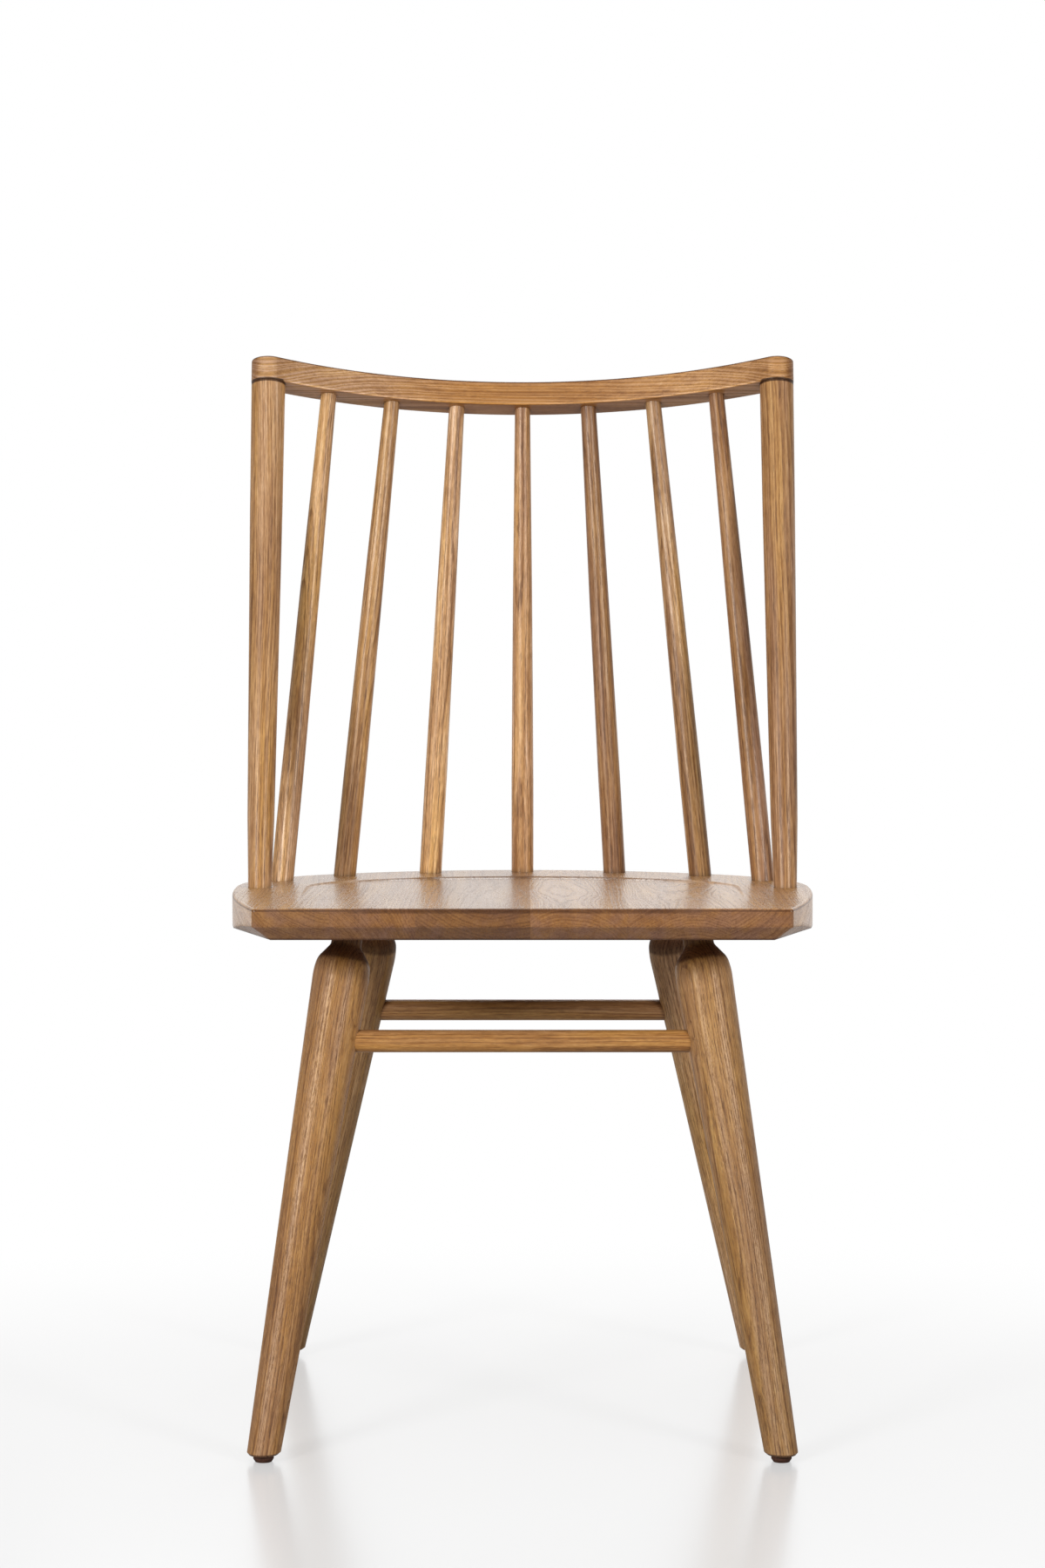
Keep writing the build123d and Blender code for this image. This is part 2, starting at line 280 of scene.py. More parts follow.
def make_grain_group(
    name, coarse_scale=(1050.0, 135.0), fine_scale=(2300.0, 260.0), coarse_share=(0.55, 0.97),
    broad=(95.0, 1.9, 0.62), thin=(420.0, 6.5, 0.56), mottling=0.55, soft_rings=0.0
):
    """Solid oak: year rings round a pith, pores, rays and streaks.

    Scales are per metre across and along the grain. The broad and thin streaks have their strength as
    well, coarse_share is how many cells have a coarse pore in late and in early wood, and soft_rings
    is how far the rings turn into even waves.
    """
    tree = bpy.data.node_groups.new(name, "ShaderNodeTree")
    tree.interface.new_socket("Vector", in_out="INPUT", socket_type="NodeSocketVector")
    for label in GRAIN_INPUTS:
        tree.interface.new_socket(label, in_out="INPUT", socket_type="NodeSocketFloat")
    for label in GRAIN_OUTPUTS:
        tree.interface.new_socket(label, in_out="OUTPUT", socket_type="NodeSocketFloat")
    net = Net(tree)
    given = net.add("NodeGroupInput").outputs
    place = given["Vector"]
    shift = net.joined(*(net.math("MULTIPLY", given["Seed"], step) for step in SEED_STEPS))

    # The tree did not grow straight: slow bends first, then small ones
    grown = place
    for scale, reach, detail in BENDS:
        bend = net.wander(net.scaled(place, *scale, shift), (reach, reach, 0.0), detail)
        grown = net.vector("ADD", grown, bend)
    spoke, radius, years, draw, porous = make_rings(net, grown, given)

    # Pores: coarse ones mostly in the early wood, and fine ones anywhere
    coarse_size = net.span(porous, 0.0, 1.0, *COARSE_SIZE, smooth=False)
    coarse_keep = net.span(porous, *COARSE_BAND, *coarse_share)
    coarse = make_vessels(net, place, shift, coarse_scale, coarse_size, coarse_keep, COARSE_JITTER)
    fine_keep = net.span(porous, 0.0, 1.0, *FINE_SHARE)
    fine = make_vessels(net, place, shift, fine_scale, FINE_SIZE, fine_keep, FINE_JITTER)
    pore = net.math("MAXIMUM", coarse, net.math("MULTIPLY", fine, FINE_DEPTH))
    pore = net.math("MULTIPLY", pore, given["Pores"], clamp=True)
    ray = make_rays(net, grown, spoke, radius, shift)

    # Streaks and fibres along the grain
    broad_streak = net.noise(net.scaled(place, broad[0], broad[1], shift), roughness=BROAD_ROUGHNESS)
    thin_streak = net.noise(net.scaled(place, thin[0], thin[1], shift), roughness=NOISE_ROUGHNESS)
    streaks = net.math("ADD", net.swing(broad_streak, broad[2]), net.swing(thin_streak, thin[2]))
    fibre = net.noise(net.scaled(place, *FIBRE_SCALE, shift), roughness=NOISE_ROUGHNESS)
    mottle = net.noise(net.scaled(grown, *MOTTLE_SCALE, shift), roughness=NOISE_ROUGHNESS)
    cloud = net.noise(net.scaled(place, *CLOUD_SCALE, shift))
    warmth = net.noise(net.scaled(grown, *WARMTH_SCALE, shift))

    band = porous
    if soft_rings:
        # One wave a year, from 0 to 1
        wave = net.math("COSINE", net.math("MULTIPLY", years, 2 * math.pi))
        wave = net.math("MULTIPLY_ADD", wave, 0.5, 0.5)
        band = net.math(
            "ADD", net.math("MULTIPLY", wave, soft_rings), net.math("MULTIPLY", porous, 1.0 - soft_rings)
        )
        warmth = net.math(
            "ADD", net.math("MULTIPLY", warmth, WARMTH_NOISE),
            net.math("MULTIPLY_ADD", wave, WARMTH_WAVE, WARMTH_LEAST)
        )
    banding = net.math("MULTIPLY", given["Figure"], BAND_TONE)
    tone = net.chain(
        "ADD", net.math("MULTIPLY_ADD", net.math("SUBTRACT", BAND_MIDDLE, band), banding, TONE_MIDDLE),
        net.math("MULTIPLY", net.swing(draw, YEAR_TONE), given["Figure"]),
        net.math("MULTIPLY", streaks, given["Streaks"]),
        net.swing(fibre, FIBRE_TONE), net.swing(mottle, mottling), net.swing(cloud, CLOUD_TONE)
    )
    tone = net.math("ADD", tone, net.math("MULTIPLY", ray, RAY_TONE), clamp=True)
    sunk = net.chain("SUBTRACT", 1.0, net.math("MULTIPLY", porous, POROUS_RELIEF),
                     net.math("MULTIPLY", pore, PORE_RELIEF))
    relief = net.chain("ADD", sunk, net.swing(fibre, FIBRE_RELIEF), net.swing(mottle, MOTTLE_RELIEF))
    net.add("NodeGroupOutput", Tone=tone, Pore=pore, Relief=relief, Warmth=warmth)
    return tree


# How the oak is stained, lacquered and worn, and where shade and highlights are painted on it

OAK_STOPS = (
    (0.0, (0.130, 0.052, 0.018)),
    (0.3, (0.270, 0.122, 0.043)),
    (0.55, (0.410, 0.205, 0.077)),
    (0.8, (0.545, 0.300, 0.127)),
    (1.0, (0.660, 0.405, 0.200)),
)
WARM_TINT = rgb(1.04, 0.99, 0.78)
COOL_TINT = rgb(0.93, 0.93, 1.12)
WARMTH_RANGE = (0.3, 0.7)
PORE_COLOUR = rgb(0.085, 0.034, 0.014)
PORE_STRENGTH = 0.56
PORE_ROUGHNESS = 0.14
TONE_ROUGHNESS = -0.06
END_TINT = rgb(0.60, 0.53, 0.52)
END_SLOPE = (0.3, 0.8)
END_RELIEF = 0.35
DARKENING_TINT = rgb(0.30, 0.22, 0.17)
LACQUER_IOR = 1.5
LACQUER_TINT = rgb(1.0, 0.94, 0.86)

# The joint between a post and the crest rail: a dark line on both, this wide at its faint edge and
# where it is full
JOINT_TINT = rgb(0.17, 0.13, 0.10)
JOINT_LINE = (0.0021, 0.0014)

# Painted shade where pieces meet: how far off that shows, how dark it gets, and how open a shaded
# and a clear place are
NOOK_REACH = 0.009
NOOK_DARK = 0.3
NOOK_OPEN = (0.2, 0.8)

# Edges: how far the eased edge's normal has turned from the face's own, and how patchy the paleness is:
# partly wear, partly a painted highlight
EDGE_RADIUS = 0.0016
WEAR_HIGHLIGHT_TINT = rgb(1.7, 1.75, 1.85)
WEAR_HIGHLIGHT_TURN = (0.955, 0.84)
WEAR_HIGHLIGHT_SCALE = (160.0, 60.0)
WEAR_HIGHLIGHT_PATCHES = (0.3, 0.65)
WEAR_HIGHLIGHT_SHARE = (0.25, 0.8)

# Rays for each look at the surroundings of a point
SOFT_SAMPLES = 6


class Oak:
    """The oak of one piece while it is made. Each step changes its colour, roughness or normal so far."""

    def __init__(self, name, grain_tree, axes, middle, wood, figure, pores, streaks, roughness):
        """axes has two directions across the grain and the grain itself as columns."""
        seed, pith, ring_width, tint = wood
        self.material, self.net = new_material(name)
        net = self.net
        self.axes = axes
        place = net.add("ShaderNodeTexCoord").outputs["Object"]
        self.place = net.parts(place)
        self.wood = net.add(
            "ShaderNodeMapping", {"vector_type": "TEXTURE"}, Vector=place, Location=middle,
            Rotation=axes.to_euler("XYZ")
        ).outputs[0]
        self.in_wood = net.parts(self.wood)
        self.along = self.in_wood[2]
        self.normal = net.add("ShaderNodeNewGeometry").outputs["Normal"]
        self.end_on = net.math("ABSOLUTE", self.slope(2))
        self.rounded = None
        grain = net.add(
            "ShaderNodeGroup", {"node_tree": grain_tree}, Vector=self.wood, Seed=seed, Pith_X=pith[0],
            Pith_Y=pith[1], Ring_Width=ring_width, Figure=figure, Pores=pores, Streaks=streaks
        ).outputs
        self.relief = grain["Relief"]

        ramp = net.add("ShaderNodeValToRGB", Fac=grain["Tone"])
        stops = ramp.color_ramp.elements
        for _ in OAK_STOPS[2:]:
            stops.new(0.5)
        for stop, (position, colour) in zip(stops, OAK_STOPS):
            stop.position = position
            stop.color = rgb(*times(colour, tint))
        warm = net.tinted(1.0, ramp.outputs["Color"], WARM_TINT)
        cool = net.tinted(1.0, ramp.outputs["Color"], COOL_TINT)
        colour = net.mix(net.span(grain["Warmth"], *WARMTH_RANGE), cool, warm)
        self.colour = net.mix(net.math("MULTIPLY", grain["Pore"], PORE_STRENGTH), colour, PORE_COLOUR)
        self.roughness = net.chain(
            "ADD", roughness, net.math("MULTIPLY", grain["Pore"], PORE_ROUGHNESS),
            net.swing(grain["Tone"], TONE_ROUGHNESS)
        )

    def slope(self, axis):
        """How far the surface faces along one of the piece's own axes, from -1 to 1."""
        return self.net.vector("DOT_PRODUCT", self.normal, tuple(self.axes.col[axis]))

    def tint(self, share, tint):
        self.colour = self.net.tinted(share, self.colour, tint)

    def shade(self, level):
        """Multiplies the colour by a level of brightness."""
        self.tint(1.0, self.net.joined(level, level, level))

    def roughen(self, share, amount):
        self.roughness = self.net.math("ADD", self.roughness, self.net.math("MULTIPLY", share, amount))

    def stain_ends(self, tint=END_TINT):
        """End grain drinks more stain."""
        self.tint(self.net.span(self.end_on, *END_SLOPE), tint)

    def paint_nook_shade(self, reach=NOOK_REACH, dark=NOOK_DARK):
        """Painted shade: the colour is darker where pieces meet, as if less light got in there."""
        near = self.net.add("ShaderNodeAmbientOcclusion", {"samples": SOFT_SAMPLES}, Distance=reach)
        self.shade(self.net.span(near.outputs["AO"], *NOOK_OPEN, dark, 1.0))

    def ease_edges(self, radius=EDGE_RADIUS):
        """Sharp edges catch the light as if they were rounded."""
        self.rounded = self.net.add("ShaderNodeBevel", {"samples": SOFT_SAMPLES}, Radius=radius).outputs[0]

    def wear_and_highlight_edges(self):
        """Eased edges are paler in patches: partly sanded through, partly a painted highlight."""
        net = self.net
        turn = net.vector("DOT_PRODUCT", self.rounded, self.normal)
        patchy = net.noise(net.scaled(self.wood, *WEAR_HIGHLIGHT_SCALE))
        patches = net.span(patchy, *WEAR_HIGHLIGHT_PATCHES, *WEAR_HIGHLIGHT_SHARE)
        self.tint(net.math("MULTIPLY", net.span(turn, *WEAR_HIGHLIGHT_TURN), patches), WEAR_HIGHLIGHT_TINT)

    def finished(self, relief):
        """The material, with the grain standing relief metres high."""
        net = self.net
        strength = net.span(self.end_on, *END_SLOPE, 1.0, END_RELIEF)
        bump = net.add(
            "ShaderNodeBump", Height=self.relief, Strength=strength, Distance=relief, Normal=self.rounded
        )
        shader = net.add(
            "ShaderNodeBsdfPrincipled", Base_Color=self.colour, Roughness=self.roughness,
            Normal=bump.outputs[0], IOR=LACQUER_IOR, Specular_Tint=LACQUER_TINT
        )
        net.add("ShaderNodeOutputMaterial", Surface=shader.outputs[0])
        return self.material


# A piece whose length has more of X than this lies along X
ALONG_X = 0.8


def corners_of(node):
    """The corners of a node's mesh, one place in each row."""
    mesh = nodes[node].data
    out = np.zeros(len(mesh.vertices) * 3, np.float32)
    mesh.vertices.foreach_get("co", out)
    return out.reshape(-1, 3).astype(float)


def turned_axes(node):
    """A turned piece's axes, with its length as the third, and its middle."""
    points = corners_of(node)
    middle = (points.min(0) + points.max(0)) / 2
    spread = points - points.mean(0)
    long = np.linalg.eigh(spread.T @ spread)[1][:, -1]
    # The length points up, or to the right where the piece lies
    long = Vector(long * (1 if long[int(np.argmax(np.abs(long)))] > 0 else -1))
    side = Vector((1.0, 0.0, 0.0)) if abs(long.x) < ALONG_X else Vector((0.0, 1.0, 0.0))
    second = long.cross(side).normalized()
    first = second.cross(long).normalized()
    return Matrix((first, second, long)).transposed(), tuple(middle)


def reach_along(node, axes, middle):
    """How far a piece reaches past its middle, along its length."""
    return float(((corners_of(node) - np.array(middle)) @ np.array(axes.col[2])).max())


# Seat: the boards' grain runs from front to back

ALONG_Y = Matrix(((1.0, 0.0, 0.0), (0.0, 0.0, 1.0), (0.0, -1.0, 0.0))).transposed()
SEAT_GRAIN = make_grain_group("oak_grain_seat")
SEAT_TINT = (1.12, 1.13, 1.10)
SEAT_ROUGHNESS = 0.26

# Each board's seed, pith, ring width and tint, and then its figure and relief
SEAT_BOARDS = {
    "seat_board_1": ((11.0, (0.045, 0.055), 0.0032, (0.94, 0.95, 0.99)), 0.45, 0.00012),
    "seat_board_2": ((23.0, (-0.060, -0.030), 0.0026, (0.97, 0.96, 0.98)), 0.40, 0.00009),
    "seat_board_3": ((35.0, (0.020, 0.075), 0.0036, (0.82, 0.81, 0.83)), 0.35, 0.00005),
    "seat_board_4": ((47.0, (-0.010, -0.048), 0.0020, (1.08, 1.08, 1.10)), 0.45, 0.00018),
    "seat_board_5": ((59.0, (0.015, -0.062), 0.0018, (1.09, 1.09, 1.12)), 0.45, 0.00018),
    "seat_board_6": ((71.0, (-0.055, 0.060), 0.0034, (1.13, 1.14, 1.16)), 0.40, 0.00006),
}

# A slope is the Z of the surface's normal, and a depth is measured down from the seat's top
# Painted reflection: the top is tinted greyer and cooler and the downward bevel bluer, as if they reflected
# the pale room and floor
TOP_SLOPE = (0.8, 0.95)
TOP_REFLECTION_TINT = rgb(0.86, 0.92, 1.00)
BEVEL_SLOPE = (-0.2, -0.5)
BEVEL_REFLECTION_TINT = rgb(0.96, 0.97, 1.20)

# The duller wall of the dip, on both sides of the middle
WALL_SLOPE = (0.9995, 0.985)
WALL_DEPTH = (0.0001, 0.0004)
WALL_FROM = (0.110, 0.135)
WALL_TO = (0.215, 0.205)
WALL_ROUGHNESS = 0.22

# Painted shade in the hollow round the dip, and in a band behind a line that curves forwards at
# the sides. Both fade out towards the seat's sides, and end behind the dip.
HOLLOW_SLOPE = (0.9990, 0.975)
HOLLOW_DEPTH = (0.0045, 0.0035)
HOLLOW_SIDE = (0.165, 0.120)
HOLLOW_END = (0.153, 0.150)
HOLLOW_DARK = 0.6
DIP_SHADE_BACK = 0.137
DIP_SHADE_BEND = 1.9
DIP_SHADE_WIDTH = (0.020, 0.006)
DIP_SHADE_DEPTH = (0.0001, 0.0008)
DIP_SHADE_SHARE = 0.6

# A darker line under the eased upper edge, and along the lowest edge
RIM_SLOPE = (0.75, 0.45)
RIM_TOP = (0.0009, 0.0013)
RIM_BOTTOM = (0.0028, 0.0022)
RIM_DARK = 0.75
LOWEST_EDGE = (0.0244, 0.0264)

# The eased edges: their radius grows below the top, and is none at a glue line
RADIUS_DEPTH = (0.005, 0.009)
LOWER_EDGE_RADIUS = 0.0040
GLUE_CLEAR = (0.0008, 0.0045)
SEAT_SIDE = 0.20


def mark_seat(oak, seat_top):
    """Painted reflection tints on top and bevel, the duller wall of the dip, painted shade round the dip, and
    darker lines at two edges.
    """
    net = oak.net
    x, y, z = oak.place
    aside = net.math("ABSOLUTE", x)
    depth = net.math("SUBTRACT", seat_top, z)
    slope = net.parts(oak.normal)[2]
    # Painted reflection on the top and the bevel
    oak.tint(net.span(slope, *TOP_SLOPE), TOP_REFLECTION_TINT)
    oak.tint(net.span(slope, *BEVEL_SLOPE), BEVEL_REFLECTION_TINT)

    wall = net.chain(
        "MULTIPLY", net.span(slope, *WALL_SLOPE), net.span(depth, *WALL_DEPTH), net.span(aside, *WALL_FROM),
        net.span(aside, *WALL_TO)
    )
    oak.roughen(wall, WALL_ROUGHNESS)

    sunk = net.math("MULTIPLY", net.span(slope, *HOLLOW_SLOPE), net.span(depth, *HOLLOW_DEPTH))
    back_line = net.math("MULTIPLY_ADD", net.math("MULTIPLY", x, x), -DIP_SHADE_BEND, DIP_SHADE_BACK)
    dip_shade = net.chain(
        "MULTIPLY", net.span(net.math("SUBTRACT", back_line, y), *DIP_SHADE_WIDTH), DIP_SHADE_SHARE,
        net.span(depth, *DIP_SHADE_DEPTH)
    )
    inside = net.math("MULTIPLY", net.span(aside, *HOLLOW_SIDE), net.span(y, *HOLLOW_END))
    hollow = net.chain("MULTIPLY", net.math("MAXIMUM", sunk, dip_shade), inside, HOLLOW_DARK)
    rim = net.chain(
        "MULTIPLY", net.span(depth, *RIM_BOTTOM), net.span(depth, *RIM_TOP), net.span(slope, *RIM_SLOPE),
        RIM_DARK
    )
    lowest = net.math("MULTIPLY", net.span(depth, *LOWEST_EDGE), RIM_DARK)
    # Painted shade in the hollow round the dip, and darker lines under the upper edge and along the lowest
    # edge
    oak.tint(net.chain("MAXIMUM", hollow, rim, lowest), DARKENING_TINT)


def seat_edge_radius(oak, seat_top, glued):
    """The radius of a board's edges, none at the glue lines, whose X places are given."""
    net = oak.net
    depth = net.math("SUBTRACT", seat_top, oak.place[2])
    radius = net.span(depth, *RADIUS_DEPTH, EDGE_RADIUS, LOWER_EDGE_RADIUS)
    for line in glued:
        off_line = net.math("ABSOLUTE", net.math("SUBTRACT", oak.place[0], line))
        radius = net.math("MULTIPLY", radius, net.span(off_line, *GLUE_CLEAR))
    return radius


for board, (wood, figure, relief) in SEAT_BOARDS.items():
    low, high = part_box(board)
    seat_top = float(high[2])
    seed, pith, ring_width, tint = wood
    wood = (seed, pith, ring_width, times(tint, SEAT_TINT))
    oak = Oak(
        f"oak_{board}", SEAT_GRAIN, ALONG_Y, tuple((low + high) / 2), wood, figure=figure, pores=0.7,
        streaks=0.6, roughness=SEAT_ROUGHNESS
    )
    oak.stain_ends()
    oak.paint_nook_shade()
    mark_seat(oak, seat_top)
    glued = [side for side in (float(low[0]), float(high[0])) if abs(side) < SEAT_SIDE]
    oak.ease_edges(seat_edge_radius(oak, seat_top, glued))
    oak.wear_and_highlight_edges()
    dress(board, oak.finished(relief))


# Posts and spindles

BACK_GRAIN = make_grain_group(
    "oak_grain_back", coarse_scale=(820.0, 62.0), fine_scale=(1900.0, 150.0), coarse_share=(0.08, 0.8),
    broad=(190.0, 7.0, 1.3), thin=(460.0, 13.0, 1.4), mottling=0.75
)
BACK_RELIEF = 0.00004
BACK_ROUGHNESS = 0.35
POST_TENON = 0.015

# Each piece's seed, pith, ring width and tint
BACK_WOOD = {
    "post_left": (101.0, (0.050, -0.020), 0.0026, (1.17, 1.22, 1.22)),
    "post_right": (113.0, (-0.060, 0.030), 0.0030, (0.98, 1.00, 1.08)),
    "spindle_1": (127.0, (0.030, 0.045), 0.0024, (1.42, 1.60, 1.80)),
    "spindle_2": (131.0, (-0.052, 0.018), 0.0030, (1.25, 1.35, 1.30)),
    "spindle_3": (149.0, (0.040, -0.030), 0.0026, (1.70, 1.96, 2.17)),
    "spindle_4": (151.0, (0.022, 0.055), 0.0028, (1.36, 1.48, 1.68)),
    "spindle_5": (163.0, (-0.042, -0.026), 0.0022, (0.79, 0.81, 0.99)),
    "spindle_6": (179.0, (0.036, 0.036), 0.0030, (1.06, 1.15, 1.21)),
    "spindle_7": (181.0, (-0.028, 0.048), 0.0026, (0.86, 0.86, 1.00)),
}

for piece, wood in BACK_WOOD.items():
    axes, middle = turned_axes(piece)
    is_post = piece.startswith("post")
    oak = Oak(
        f"oak_{piece}", BACK_GRAIN, axes, middle, wood, figure=0.7, pores=0.7 if is_post else 1.0,
        streaks=0.55 if is_post else 0.68, roughness=BACK_ROUGHNESS
    )
    oak.stain_ends()
    oak.paint_nook_shade()
    if is_post:
        # A dark line where the post meets the crest rail
        shoulder = reach_along(piece, axes, middle) - POST_TENON
        oak.tint(oak.net.span(oak.along, *(shoulder - down for down in JOINT_LINE)), JOINT_TINT)
    dress(piece, oak.finished(BACK_RELIEF))


# Crest rail: its grain runs along X, in the plane that it curves in

CREST_GRAIN = make_grain_group("oak_grain_crest", coarse_share=(0.1, 0.4), mottling=0.35, soft_rings=0.8)
CREST_WOOD = (307.0, (0.045, -0.13), 0.0030, (1.03, 0.925, 0.68))
CREST_RELIEF = 0.00008
CREST_ROUGHNESS = 0.40
BACK_LEAN = math.radians(15.6)
CREST_AXES = Matrix((
    (0.0, math.cos(BACK_LEAN), -math.sin(BACK_LEAN)),
    (0.0, math.sin(BACK_LEAN), math.cos(BACK_LEAN)),
    (1.0, 0.0, 0.0),
)).transposed()

# The rail gets paler from near its middle to its ends
CREST_END_FROM = 0.04
CREST_END_TO = 0.19
CREST_LEFT_TINT = rgb(1.34, 1.68, 2.75)
CREST_RIGHT_TINT = rgb(1.30, 1.49, 1.95)

# The rail's arrises, by how far the surface faces up along the back. The lower one, pale from wear and a
# painted highlight, isn't pale over the posts, and a post's place is read from the last of its tenon.
LOW_ARRIS = ((-0.08, -0.28), (-0.97, -0.80))
LOW_ARRIS_HIGHLIGHT_TINT = rgb(1.6, 1.8, 2.1)
HIGH_ARRIS = ((0.02, 0.20), (0.98, 0.85))
OVER_POST = (0.208, 0.214)
POST_RIM = 0.004
POST_JOINT_RADIUS = (0.0165, 0.0150)


def mark_crest(oak, underside, post_ahead, post_aside):
    """A pale lower arris, partly wear and partly a painted highlight, a dark upper one, and a dark joint over
    each post.
    """
    net = oak.net
    slope = oak.slope(1)
    over_post = net.span(net.math("ABSOLUTE", oak.place[0]), *OVER_POST)
    low, low_end = (net.span(slope, *limits) for limits in LOW_ARRIS)
    high, high_end = (net.span(slope, *limits) for limits in HIGH_ARRIS)
    oak.tint(net.chain("MULTIPLY", low, low_end, net.math("SUBTRACT", 1.0, over_post)), LOW_ARRIS_HIGHLIGHT_TINT)
    oak.tint(net.math("MULTIPLY", high, high_end), DARKENING_TINT)
    ahead, up, along = oak.in_wood
    beyond = net.math("SUBTRACT", net.math("ABSOLUTE", along), post_aside)
    off_post = net.vector("LENGTH", net.joined(net.math("SUBTRACT", ahead, post_ahead), beyond))
    joint = net.span(up, *(underside + height for height in JOINT_LINE))
    oak.tint(net.math("MULTIPLY", joint, net.span(off_post, *POST_JOINT_RADIUS)), JOINT_TINT)


low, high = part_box("crest_rail")
crest_middle = (low + high) / 2
crest_heights = (corners_of("crest_rail") - crest_middle) @ np.array(CREST_AXES.col[1])
post_top = corners_of("post_right")
post_top = post_top[post_top[:, 2] > post_top[:, 2].max() - POST_RIM]
post_place = Vector(post_top.mean(0) - crest_middle) @ CREST_AXES
crest = Oak(
    "oak_crest_rail", CREST_GRAIN, CREST_AXES, tuple(crest_middle), CREST_WOOD, figure=1.1, pores=0.6,
    streaks=0.8, roughness=CREST_ROUGHNESS
)
crest.tint(crest.net.span(crest.along, -CREST_END_FROM, -CREST_END_TO), CREST_LEFT_TINT)
crest.tint(crest.net.span(crest.along, CREST_END_FROM, CREST_END_TO), CREST_RIGHT_TINT)
crest.stain_ends()
crest.paint_nook_shade()
mark_crest(crest, float(crest_heights.min()), float(post_place[0]), abs(float(post_place[2])))
crest.ease_edges()
dress("crest_rail", crest.finished(CREST_RELIEF))


# Legs and rungs

LEG_GRAIN = make_grain_group(
    "oak_grain_leg", coarse_scale=(1150.0, 95.0), fine_scale=(2300.0, 220.0), coarse_share=(0.25, 0.92),
    broad=(150.0, 4.0, 0.60), thin=(520.0, 9.0, 0.9), mottling=0.75
)
LEG_TINT = (0.97, 0.93, 0.84)
LEG_RELIEF = 0.00013
LEG_ROUGHNESS = 0.41
# Painted shade where legs and rungs meet other pieces: how far off it shows, and how dark it gets
LEG_NOOK_REACH = 0.022
LEG_NOOK_DARK = {"leg_front": 0.35, "leg_rear": 1.0, "rung": 0.35}
FOOT_TINT = rgb(1.15, 1.05, 1.25)

# Each piece's seed, pith, ring width and tint
LEG_WOOD = {
    "leg_front_left": (211.0, (0.070, -0.040), 0.0021, (0.97, 0.98, 0.97)),
    "leg_front_right": (223.0, (-0.055, -0.060), 0.0020, (1.05, 1.12, 1.16)),
    "leg_rear_left": (227.0, (0.060, 0.050), 0.0023, (1.00, 1.09, 1.08)),
    "leg_rear_right": (239.0, (-0.070, 0.035), 0.0021, (1.30, 1.52, 1.84)),
    "rung_front": (251.0, (0.040, 0.040), 0.0026, (1.14, 1.11, 0.98)),
    "rung_rear": (263.0, (-0.045, 0.035), 0.0028, (1.00, 1.01, 1.00)),
}

# Painted light falloff: how bright a leg is at its foot and at its top, this far below and above its middle
FALLOFF_REACH = 0.2
LEG_FALLOFF = {
    "leg_front_left": (0.98, 1.12),
    "leg_front_right": (0.80, 1.13),
    "leg_rear_left": (0.74, 1.22),
    "leg_rear_right": (1.08, 1.16),
}

# The darker neck, mostly painted shade and partly stain: how far below the tenon it starts, and its steps up
# from there
LEG_TENON = 0.020
NECK_DROP = {"leg_front": 0.0295, "leg_rear": 0.0350}
NECK_START = (-0.002, 0.002)
NECK_EASE = (0.006, 0.014)
NECK_TOP = 0.85
NECK_SHADE_TINT = rgb(0.42, 0.37, 0.33)
NECK_ROUGHNESS = 0.2


def paint_leg_falloff(oak, falloff):
    """Painted light falloff: a leg is darker towards its foot, as if less light reached it there."""
    oak.shade(oak.net.span(oak.along, -FALLOFF_REACH, FALLOFF_REACH, *falloff, smooth=False))


def mark_neck(oak, start):
    """The hollow neck under the seat is darker, mostly painted shade and partly stain, and duller."""
    net = oak.net
    starting = net.span(oak.along, *(start + step for step in NECK_START))
    easing = net.span(oak.along, *(start + step for step in NECK_EASE), 1.0, NECK_TOP)
    shaded = net.math("MULTIPLY", starting, easing)
    oak.tint(shaded, NECK_SHADE_TINT)
    oak.roughen(shaded, NECK_ROUGHNESS)


for piece, (seed, pith, ring_width, tint) in LEG_WOOD.items():
    axes, middle = turned_axes(piece)
    kind = piece.rpartition("_")[0]
    is_leg = piece in LEG_FALLOFF
    oak = Oak(
        f"oak_{piece}", LEG_GRAIN, axes, middle, (seed, pith, ring_width, times(tint, LEG_TINT)), figure=0.65,
        pores=1.0 if is_leg else 0.6, streaks=0.68, roughness=LEG_ROUGHNESS
    )
    if is_leg:
        paint_leg_falloff(oak, LEG_FALLOFF[piece])
    oak.stain_ends(FOOT_TINT)
    oak.paint_nook_shade(LEG_NOOK_REACH, LEG_NOOK_DARK[kind])
    if is_leg:
        mark_neck(oak, reach_along(piece, axes, middle) - LEG_TENON - NECK_DROP[kind])
    dress(piece, oak.finished(LEG_RELIEF))


# Glides and their nails

# Heights are above the floor
GLIDE_BASE = rgb(0.062, 0.024, 0.013)
GLIDE_CLOUD = rgb(0.105, 0.043, 0.026)
GLIDE_PATCHES = (0.35, 0.7)
GLIDE_CLOUD_SCALE = (240.0, 240.0)
GLIDE_SPECK_SCALE = (2600.0, 2600.0)
GLIDE_COLLAR = rgb(0.22, 0.110, 0.068)
COLLAR_HEIGHT = (0.0046, 0.0056)
GLIDE_RUBBED = rgb(0.13, 0.095, 0.075)
RUBBED_HEIGHT = (0.0016, 0.0)
GLIDE_ROUGHNESS = 0.42
GLIDE_ROUGHER = 0.2
GLIDE_RELIEF = 0.00005
GLIDE_IOR = 1.5
GLIDE_GLOSS = 0.25

NAIL_BRIGHT = rgb(0.56, 0.56, 0.57)
NAIL_TARNISH = rgb(0.36, 0.33, 0.30)
NAIL_DRAWN_SCALE = (3800.0, 160.0)
NAIL_TARNISH_SCALE = (420.0, 420.0)
NAIL_PATCHES = (0.4, 0.75)
NAIL_ROUGHNESS = 0.24
NAIL_ROUGHER = 0.22
NAIL_RELIEF = 0.00003


